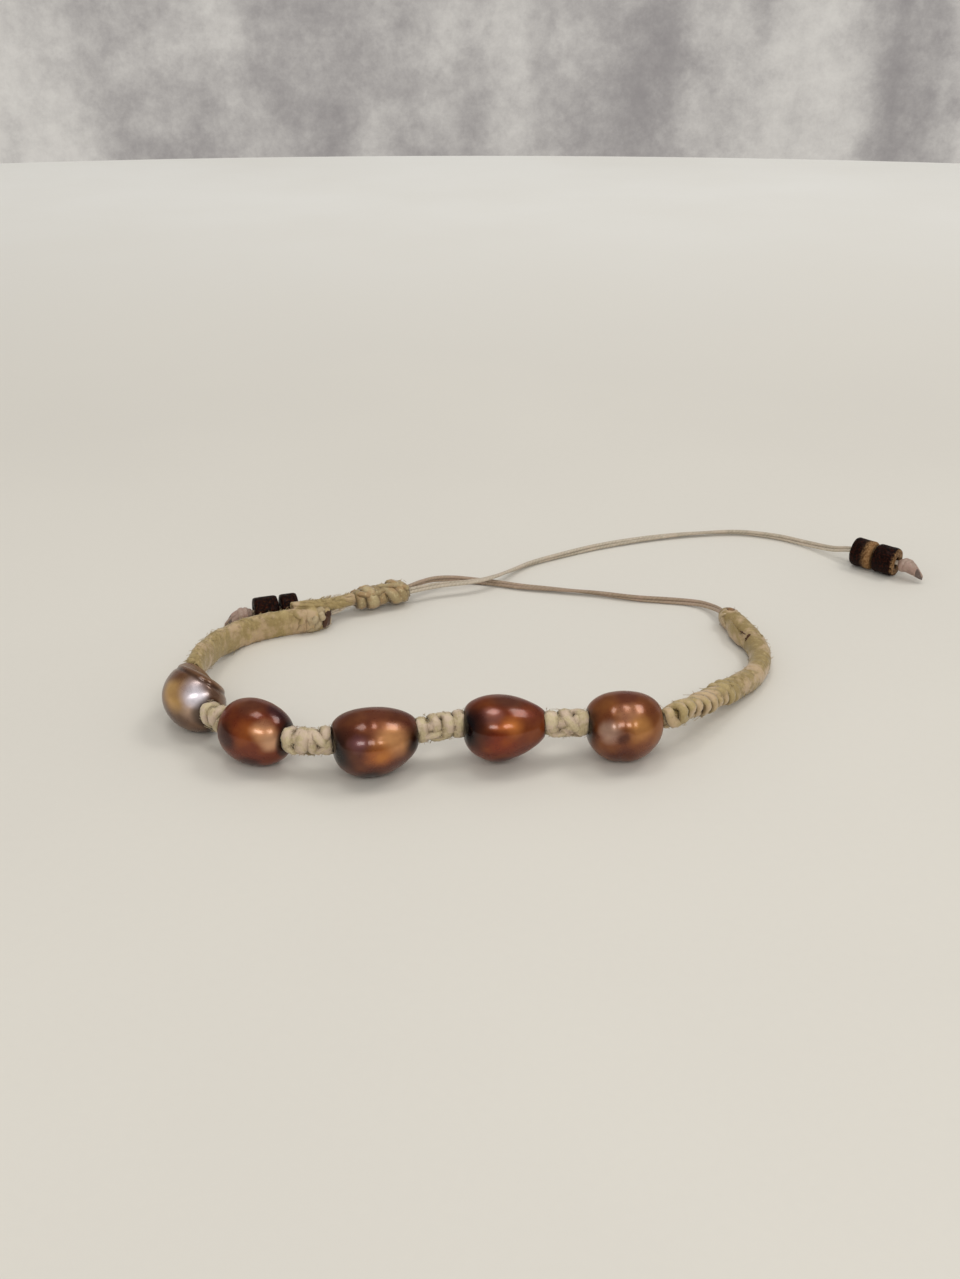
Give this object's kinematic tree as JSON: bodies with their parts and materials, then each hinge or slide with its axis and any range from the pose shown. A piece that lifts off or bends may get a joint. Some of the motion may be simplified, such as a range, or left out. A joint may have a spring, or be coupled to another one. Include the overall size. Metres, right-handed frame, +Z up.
{
  "type": "pearl bracelet",
  "caption": "Knotted bracelet with drilled baroque pearls on a waxed thread, square-knot bands and a sliding knot that sets its size, lying flat.",
  "frame": {"origin": "on the table under the middle of the loop's box, measured without the two free tails and what is on them", "axes": "+Z up from the table, +Y from the pearls to the sliding knot, +X from the flat band to the round band"},
  "size_m": [0.1064, 0.0746, 0.0084],
  "materials": {
    "pearl_mauve": "lustrous nacre, mauve bronze with lilac and gold overtones",
    "pearl_mahogany": "lustrous nacre, orange brown to dark plum",
    "pearl_plum": "lustrous nacre, dark plum to copper gold",
    "pearl_wine": "lustrous nacre, wine red brown to amber",
    "pearl_bronze": "lustrous nacre, copper bronze with a plum edge",
    "knotting": "khaki beige waxed thread in square knots",
    "thread": "taupe waxed thread, softly shiny",
    "dark_bead": "dark polished nut wood with tan flecks"
  },
  "bodies": {
    "root": {"core_thread": "thread", "pearl_1": "pearl_mauve", "pearl_2": "pearl_mahogany", "pearl_3": "pearl_plum", "pearl_4": "pearl_wine", "pearl_5": "pearl_bronze", "knot_1": "knotting", "knot_2": "knotting", "knot_3": "knotting", "knot_4": "knotting", "left_band": "knotting", "right_band": "knotting", "sliding_knot": "knotting", "long_tail_cord": "thread", "short_tail_cord": "thread", "long_tail_bead_1": "dark_bead", "long_tail_bead_2": "dark_bead", "short_tail_bead_1": "dark_bead", "short_tail_bead_2": "dark_bead", "long_tail_end_knot": "thread", "short_tail_end_knot": "thread"}
  },
  "joints": []
}
